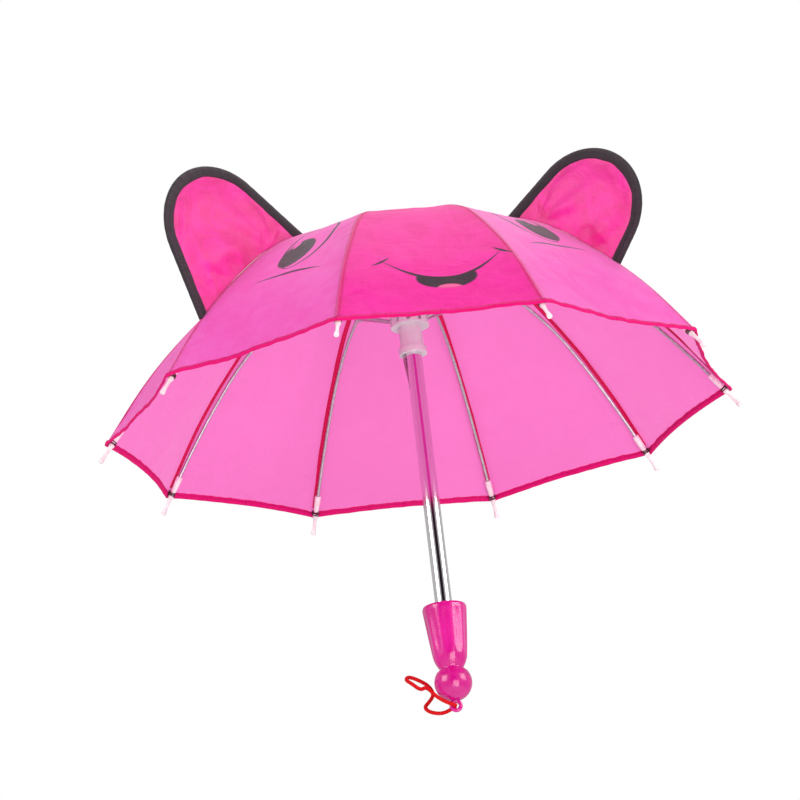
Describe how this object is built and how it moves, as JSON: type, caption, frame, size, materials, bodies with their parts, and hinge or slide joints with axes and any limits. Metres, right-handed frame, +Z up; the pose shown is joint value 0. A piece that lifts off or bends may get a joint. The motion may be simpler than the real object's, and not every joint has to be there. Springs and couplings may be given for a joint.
{
  "type": "folding doll-size umbrella",
  "caption": "Folding doll-size umbrella with a domed pink cloth canopy, wire ribs, sliding runner, ears and a ball-ended handle on a chrome tube.",
  "frame": {"origin": "on the shaft's axis, in the middle of the handle's tapered grip", "axes": "+Z up the shaft to the ferrule; the face of the canopy looks to -Y; +X is to the right of it"},
  "size_m": [0.307, 0.292, 0.2551],
  "materials": {
    "canopy_cloth": "thin woven polyester, hot pink",
    "ear_cloth": "padded pink polyester with a dark binding",
    "tip_plastic": "milky moulded plastic",
    "frame_wire": "plain steel wire",
    "shaft_chrome": "bright plated tube",
    "handle_plastic": "glossy pink plastic",
    "clear_plastic": "milky translucent plastic",
    "cap_plastic": "glossy pink plastic",
    "cord": "braided red cord",
    "spring_steel": "folded spring leaf"
  },
  "bodies": {
    "shaft": {"shaft_tube": "shaft_chrome", "handle": "handle_plastic", "crown": "clear_plastic", "canopy_washer": "cap_plastic", "ferrule": "cap_plastic", "wrist_cord": "cord"},
    "runner": {"runner": "clear_plastic"},
    "catch": {"catch_spring": "spring_steel"},
    "rib_01": {"rib_01": "frame_wire", "rib_tip_01": "tip_plastic"},
    "stretcher_01": {"stretcher_01": "frame_wire"},
    "cloth_right_01": {"canopy_right_of_rib_01": "canopy_cloth"},
    "cloth_left_01": {"canopy_left_of_rib_01": "canopy_cloth"},
    "rib_02": {"rib_02": "frame_wire", "rib_tip_02": "tip_plastic"},
    "stretcher_02": {"stretcher_02": "frame_wire"},
    "cloth_right_02": {"canopy_right_of_rib_02": "canopy_cloth"},
    "cloth_left_02": {"canopy_left_of_rib_02": "canopy_cloth"},
    "rib_03": {"rib_03": "frame_wire", "rib_tip_03": "tip_plastic", "ear_right": "ear_cloth"},
    "stretcher_03": {"stretcher_03": "frame_wire"},
    "cloth_right_03": {"canopy_right_of_rib_03": "canopy_cloth"},
    "cloth_left_03": {"canopy_left_of_rib_03": "canopy_cloth"},
    "rib_04": {"rib_04": "frame_wire", "rib_tip_04": "tip_plastic"},
    "stretcher_04": {"stretcher_04": "frame_wire"},
    "cloth_right_04": {"canopy_right_of_rib_04": "canopy_cloth"},
    "cloth_left_04": {"canopy_left_of_rib_04": "canopy_cloth"},
    "rib_05": {"rib_05": "frame_wire", "rib_tip_05": "tip_plastic"},
    "stretcher_05": {"stretcher_05": "frame_wire"},
    "cloth_right_05": {"canopy_right_of_rib_05": "canopy_cloth"},
    "cloth_left_05": {"canopy_left_of_rib_05": "canopy_cloth"},
    "rib_06": {"rib_06": "frame_wire", "rib_tip_06": "tip_plastic"},
    "stretcher_06": {"stretcher_06": "frame_wire"},
    "cloth_right_06": {"canopy_right_of_rib_06": "canopy_cloth"},
    "cloth_left_06": {"canopy_left_of_rib_06": "canopy_cloth"},
    "rib_07": {"rib_07": "frame_wire", "rib_tip_07": "tip_plastic"},
    "stretcher_07": {"stretcher_07": "frame_wire"},
    "cloth_right_07": {"canopy_right_of_rib_07": "canopy_cloth"},
    "cloth_left_07": {"canopy_left_of_rib_07": "canopy_cloth"},
    "rib_08": {"rib_08": "frame_wire", "rib_tip_08": "tip_plastic"},
    "stretcher_08": {"stretcher_08": "frame_wire"},
    "cloth_right_08": {"canopy_right_of_rib_08": "canopy_cloth"},
    "cloth_left_08": {"canopy_left_of_rib_08": "canopy_cloth"},
    "rib_09": {"rib_09": "frame_wire", "rib_tip_09": "tip_plastic"},
    "stretcher_09": {"stretcher_09": "frame_wire"},
    "cloth_right_09": {"canopy_right_of_rib_09": "canopy_cloth"},
    "cloth_left_09": {"canopy_left_of_rib_09": "canopy_cloth"},
    "rib_10": {"rib_10": "frame_wire", "rib_tip_10": "tip_plastic", "ear_left": "ear_cloth"},
    "stretcher_10": {"stretcher_10": "frame_wire"},
    "cloth_right_10": {"canopy_right_of_rib_10": "canopy_cloth"},
    "cloth_left_10": {"canopy_left_of_rib_10": "canopy_cloth"}
  },
  "joints": [
    {"name": "runner_slide", "type": "slide", "parent": "shaft", "child": "runner", "axis": [0, 0, -1], "range_m": [0, 0.06942]},
    {"name": "catch_press", "type": "hinge", "parent": "shaft", "child": "catch", "pos_m": [-0.0033, 0, 0.1219], "axis": [0, 1, 0], "range_deg": [0, 6], "stiffness_Nm_per_rad": 0.02, "springref_deg": -8.59},
    {"name": "rib_01_fold", "type": "hinge", "parent": "shaft", "child": "rib_01", "pos_m": [-0.00201, -0.00618, 0.1904], "axis": [0.9511, -0.309, 0], "range_deg": [0, 55]},
    {"name": "stretcher_01_fold", "type": "hinge", "parent": "runner", "child": "stretcher_01", "pos_m": [-0.00076, -0.00753, 0.1565], "axis": [-0.9511, 0.309, 0], "range_deg": [0, 45.51]},
    {"name": "cloth_right_01_gather", "type": "hinge", "parent": "rib_01", "child": "cloth_right_01", "pos_m": [0, 0, 0.2048], "axis": [0.1498, 0.4611, 0.8746], "range_deg": [0, 30.1], "deforming": ["canopy_right_of_rib_01"]},
    {"name": "cloth_left_01_gather", "type": "hinge", "parent": "rib_01", "child": "cloth_left_01", "pos_m": [0, 0, 0.2048], "axis": [-0.1498, -0.4611, -0.8746], "range_deg": [0, 30.1], "deforming": ["canopy_left_of_rib_01"]},
    {"name": "rib_02_fold", "type": "hinge", "parent": "shaft", "child": "rib_02", "pos_m": [0.00201, -0.00618, 0.1904], "axis": [0.9511, 0.309, 0], "range_deg": [0, 55]},
    {"name": "stretcher_02_fold", "type": "hinge", "parent": "runner", "child": "stretcher_02", "pos_m": [0.00381, -0.00654, 0.1565], "axis": [-0.9511, -0.309, 0], "range_deg": [0, 45.51]},
    {"name": "cloth_right_02_gather", "type": "hinge", "parent": "rib_02", "child": "cloth_right_02", "pos_m": [0, 0, 0.2048], "axis": [-0.1498, 0.4611, 0.8746], "range_deg": [0, 30.1], "deforming": ["canopy_right_of_rib_02"]},
    {"name": "cloth_left_02_gather", "type": "hinge", "parent": "rib_02", "child": "cloth_left_02", "pos_m": [0, 0, 0.2048], "axis": [0.1498, -0.4611, -0.8746], "range_deg": [0, 30.1], "deforming": ["canopy_left_of_rib_02"]},
    {"name": "rib_03_fold", "type": "hinge", "parent": "shaft", "child": "rib_03", "pos_m": [0.00526, -0.00382, 0.1904], "axis": [0.5878, 0.809, 0], "range_deg": [0, 55]},
    {"name": "stretcher_03_fold", "type": "hinge", "parent": "runner", "child": "stretcher_03", "pos_m": [0.00693, -0.00306, 0.1565], "axis": [-0.5878, -0.809, 0], "range_deg": [0, 45.51]},
    {"name": "cloth_right_03_gather", "type": "hinge", "parent": "rib_03", "child": "cloth_right_03", "pos_m": [0, 0, 0.2048], "axis": [-0.3922, 0.285, 0.8746], "range_deg": [0, 30.1], "deforming": ["canopy_right_of_rib_03"]},
    {"name": "cloth_left_03_gather", "type": "hinge", "parent": "rib_03", "child": "cloth_left_03", "pos_m": [0, 0, 0.2048], "axis": [0.3922, -0.285, -0.8746], "range_deg": [0, 30.1], "deforming": ["canopy_left_of_rib_03"]},
    {"name": "rib_04_fold", "type": "hinge", "parent": "shaft", "child": "rib_04", "pos_m": [0.0065, 0, 0.1904], "axis": [0, 1, 0], "range_deg": [0, 55]},
    {"name": "stretcher_04_fold", "type": "hinge", "parent": "runner", "child": "stretcher_04", "pos_m": [0.0074, 0.0016, 0.1565], "axis": [0, -1, 0], "range_deg": [0, 45.51]},
    {"name": "cloth_right_04_gather", "type": "hinge", "parent": "rib_04", "child": "cloth_right_04", "pos_m": [0, 0, 0.2048], "axis": [-0.4848, 0, 0.8746], "range_deg": [0, 30.1], "deforming": ["canopy_right_of_rib_04"]},
    {"name": "cloth_left_04_gather", "type": "hinge", "parent": "rib_04", "child": "cloth_left_04", "pos_m": [0, 0, 0.2048], "axis": [0.4848, 0, -0.8746], "range_deg": [0, 30.1], "deforming": ["canopy_left_of_rib_04"]},
    {"name": "rib_05_fold", "type": "hinge", "parent": "shaft", "child": "rib_05", "pos_m": [0.00526, 0.00382, 0.1904], "axis": [-0.5878, 0.809, 0], "range_deg": [0, 55]},
    {"name": "stretcher_05_fold", "type": "hinge", "parent": "runner", "child": "stretcher_05", "pos_m": [0.00505, 0.00564, 0.1565], "axis": [0.5878, -0.809, 0], "range_deg": [0, 45.51]},
    {"name": "cloth_right_05_gather", "type": "hinge", "parent": "rib_05", "child": "cloth_right_05", "pos_m": [0, 0, 0.2048], "axis": [-0.3922, -0.285, 0.8746], "range_deg": [0, 30.1], "deforming": ["canopy_right_of_rib_05"]},
    {"name": "cloth_left_05_gather", "type": "hinge", "parent": "rib_05", "child": "cloth_left_05", "pos_m": [0, 0, 0.2048], "axis": [0.3922, 0.285, -0.8746], "range_deg": [0, 30.1], "deforming": ["canopy_left_of_rib_05"]},
    {"name": "rib_06_fold", "type": "hinge", "parent": "shaft", "child": "rib_06", "pos_m": [0.00201, 0.00618, 0.1904], "axis": [-0.9511, 0.309, 0], "range_deg": [0, 55]},
    {"name": "stretcher_06_fold", "type": "hinge", "parent": "runner", "child": "stretcher_06", "pos_m": [0.00076, 0.00753, 0.1565], "axis": [0.9511, -0.309, 0], "range_deg": [0, 45.51]},
    {"name": "cloth_right_06_gather", "type": "hinge", "parent": "rib_06", "child": "cloth_right_06", "pos_m": [0, 0, 0.2048], "axis": [-0.1498, -0.4611, 0.8746], "range_deg": [0, 30.1], "deforming": ["canopy_right_of_rib_06"]},
    {"name": "cloth_left_06_gather", "type": "hinge", "parent": "rib_06", "child": "cloth_left_06", "pos_m": [0, 0, 0.2048], "axis": [0.1498, 0.4611, -0.8746], "range_deg": [0, 30.1], "deforming": ["canopy_left_of_rib_06"]},
    {"name": "rib_07_fold", "type": "hinge", "parent": "shaft", "child": "rib_07", "pos_m": [-0.00201, 0.00618, 0.1904], "axis": [-0.9511, -0.309, 0], "range_deg": [0, 55]},
    {"name": "stretcher_07_fold", "type": "hinge", "parent": "runner", "child": "stretcher_07", "pos_m": [-0.00381, 0.00654, 0.1565], "axis": [0.9511, 0.309, 0], "range_deg": [0, 45.51]},
    {"name": "cloth_right_07_gather", "type": "hinge", "parent": "rib_07", "child": "cloth_right_07", "pos_m": [0, 0, 0.2048], "axis": [0.1498, -0.4611, 0.8746], "range_deg": [0, 30.1], "deforming": ["canopy_right_of_rib_07"]},
    {"name": "cloth_left_07_gather", "type": "hinge", "parent": "rib_07", "child": "cloth_left_07", "pos_m": [0, 0, 0.2048], "axis": [-0.1498, 0.4611, -0.8746], "range_deg": [0, 30.1], "deforming": ["canopy_left_of_rib_07"]},
    {"name": "rib_08_fold", "type": "hinge", "parent": "shaft", "child": "rib_08", "pos_m": [-0.00526, 0.00382, 0.1904], "axis": [-0.5878, -0.809, 0], "range_deg": [0, 55]},
    {"name": "stretcher_08_fold", "type": "hinge", "parent": "runner", "child": "stretcher_08", "pos_m": [-0.00693, 0.00306, 0.1565], "axis": [0.5878, 0.809, 0], "range_deg": [0, 45.51]},
    {"name": "cloth_right_08_gather", "type": "hinge", "parent": "rib_08", "child": "cloth_right_08", "pos_m": [0, 0, 0.2048], "axis": [0.3922, -0.285, 0.8746], "range_deg": [0, 30.1], "deforming": ["canopy_right_of_rib_08"]},
    {"name": "cloth_left_08_gather", "type": "hinge", "parent": "rib_08", "child": "cloth_left_08", "pos_m": [0, 0, 0.2048], "axis": [-0.3922, 0.285, -0.8746], "range_deg": [0, 30.1], "deforming": ["canopy_left_of_rib_08"]},
    {"name": "rib_09_fold", "type": "hinge", "parent": "shaft", "child": "rib_09", "pos_m": [-0.0065, 0, 0.1904], "axis": [0, -1, 0], "range_deg": [0, 55]},
    {"name": "stretcher_09_fold", "type": "hinge", "parent": "runner", "child": "stretcher_09", "pos_m": [-0.0074, -0.0016, 0.1565], "axis": [0, 1, 0], "range_deg": [0, 45.51]},
    {"name": "cloth_right_09_gather", "type": "hinge", "parent": "rib_09", "child": "cloth_right_09", "pos_m": [0, 0, 0.2048], "axis": [0.4848, 0, 0.8746], "range_deg": [0, 30.1], "deforming": ["canopy_right_of_rib_09"]},
    {"name": "cloth_left_09_gather", "type": "hinge", "parent": "rib_09", "child": "cloth_left_09", "pos_m": [0, 0, 0.2048], "axis": [-0.4848, 0, -0.8746], "range_deg": [0, 30.1], "deforming": ["canopy_left_of_rib_09"]},
    {"name": "rib_10_fold", "type": "hinge", "parent": "shaft", "child": "rib_10", "pos_m": [-0.00526, -0.00382, 0.1904], "axis": [0.5878, -0.809, 0], "range_deg": [0, 55]},
    {"name": "stretcher_10_fold", "type": "hinge", "parent": "runner", "child": "stretcher_10", "pos_m": [-0.00505, -0.00564, 0.1565], "axis": [-0.5878, 0.809, 0], "range_deg": [0, 45.51]},
    {"name": "cloth_right_10_gather", "type": "hinge", "parent": "rib_10", "child": "cloth_right_10", "pos_m": [0, 0, 0.2048], "axis": [0.3922, 0.285, 0.8746], "range_deg": [0, 30.1], "deforming": ["canopy_right_of_rib_10"]},
    {"name": "cloth_left_10_gather", "type": "hinge", "parent": "rib_10", "child": "cloth_left_10", "pos_m": [0, 0, 0.2048], "axis": [-0.3922, -0.285, -0.8746], "range_deg": [0, 30.1], "deforming": ["canopy_left_of_rib_10"]}
  ],
  "couplings": [
    {"joint": "rib_01_fold", "follows": "runner_slide", "rad_per_m": 13.702},
    {"joint": "stretcher_01_fold", "follows": "runner_slide", "rad_per_m": 11.317},
    {"joint": "cloth_right_01_gather", "follows": "runner_slide", "rad_per_m": 7.4922},
    {"joint": "cloth_left_01_gather", "follows": "runner_slide", "rad_per_m": 7.4922},
    {"joint": "rib_02_fold", "follows": "runner_slide", "rad_per_m": 13.702},
    {"joint": "stretcher_02_fold", "follows": "runner_slide", "rad_per_m": 11.317},
    {"joint": "cloth_right_02_gather", "follows": "runner_slide", "rad_per_m": 7.4922},
    {"joint": "cloth_left_02_gather", "follows": "runner_slide", "rad_per_m": 7.4922},
    {"joint": "rib_03_fold", "follows": "runner_slide", "rad_per_m": 13.702},
    {"joint": "stretcher_03_fold", "follows": "runner_slide", "rad_per_m": 11.317},
    {"joint": "cloth_right_03_gather", "follows": "runner_slide", "rad_per_m": 7.4922},
    {"joint": "cloth_left_03_gather", "follows": "runner_slide", "rad_per_m": 7.4922},
    {"joint": "rib_04_fold", "follows": "runner_slide", "rad_per_m": 13.702},
    {"joint": "stretcher_04_fold", "follows": "runner_slide", "rad_per_m": 11.317},
    {"joint": "cloth_right_04_gather", "follows": "runner_slide", "rad_per_m": 7.4922},
    {"joint": "cloth_left_04_gather", "follows": "runner_slide", "rad_per_m": 7.4922},
    {"joint": "rib_05_fold", "follows": "runner_slide", "rad_per_m": 13.702},
    {"joint": "stretcher_05_fold", "follows": "runner_slide", "rad_per_m": 11.317},
    {"joint": "cloth_right_05_gather", "follows": "runner_slide", "rad_per_m": 7.4922},
    {"joint": "cloth_left_05_gather", "follows": "runner_slide", "rad_per_m": 7.4922},
    {"joint": "rib_06_fold", "follows": "runner_slide", "rad_per_m": 13.702},
    {"joint": "stretcher_06_fold", "follows": "runner_slide", "rad_per_m": 11.317},
    {"joint": "cloth_right_06_gather", "follows": "runner_slide", "rad_per_m": 7.4922},
    {"joint": "cloth_left_06_gather", "follows": "runner_slide", "rad_per_m": 7.4922},
    {"joint": "rib_07_fold", "follows": "runner_slide", "rad_per_m": 13.702},
    {"joint": "stretcher_07_fold", "follows": "runner_slide", "rad_per_m": 11.317},
    {"joint": "cloth_right_07_gather", "follows": "runner_slide", "rad_per_m": 7.4922},
    {"joint": "cloth_left_07_gather", "follows": "runner_slide", "rad_per_m": 7.4922},
    {"joint": "rib_08_fold", "follows": "runner_slide", "rad_per_m": 13.702},
    {"joint": "stretcher_08_fold", "follows": "runner_slide", "rad_per_m": 11.317},
    {"joint": "cloth_right_08_gather", "follows": "runner_slide", "rad_per_m": 7.4922},
    {"joint": "cloth_left_08_gather", "follows": "runner_slide", "rad_per_m": 7.4922},
    {"joint": "rib_09_fold", "follows": "runner_slide", "rad_per_m": 13.702},
    {"joint": "stretcher_09_fold", "follows": "runner_slide", "rad_per_m": 11.317},
    {"joint": "cloth_right_09_gather", "follows": "runner_slide", "rad_per_m": 7.4922},
    {"joint": "cloth_left_09_gather", "follows": "runner_slide", "rad_per_m": 7.4922},
    {"joint": "rib_10_fold", "follows": "runner_slide", "rad_per_m": 13.702},
    {"joint": "stretcher_10_fold", "follows": "runner_slide", "rad_per_m": 11.317},
    {"joint": "cloth_right_10_gather", "follows": "runner_slide", "rad_per_m": 7.4922},
    {"joint": "cloth_left_10_gather", "follows": "runner_slide", "rad_per_m": 7.4922}
  ]
}
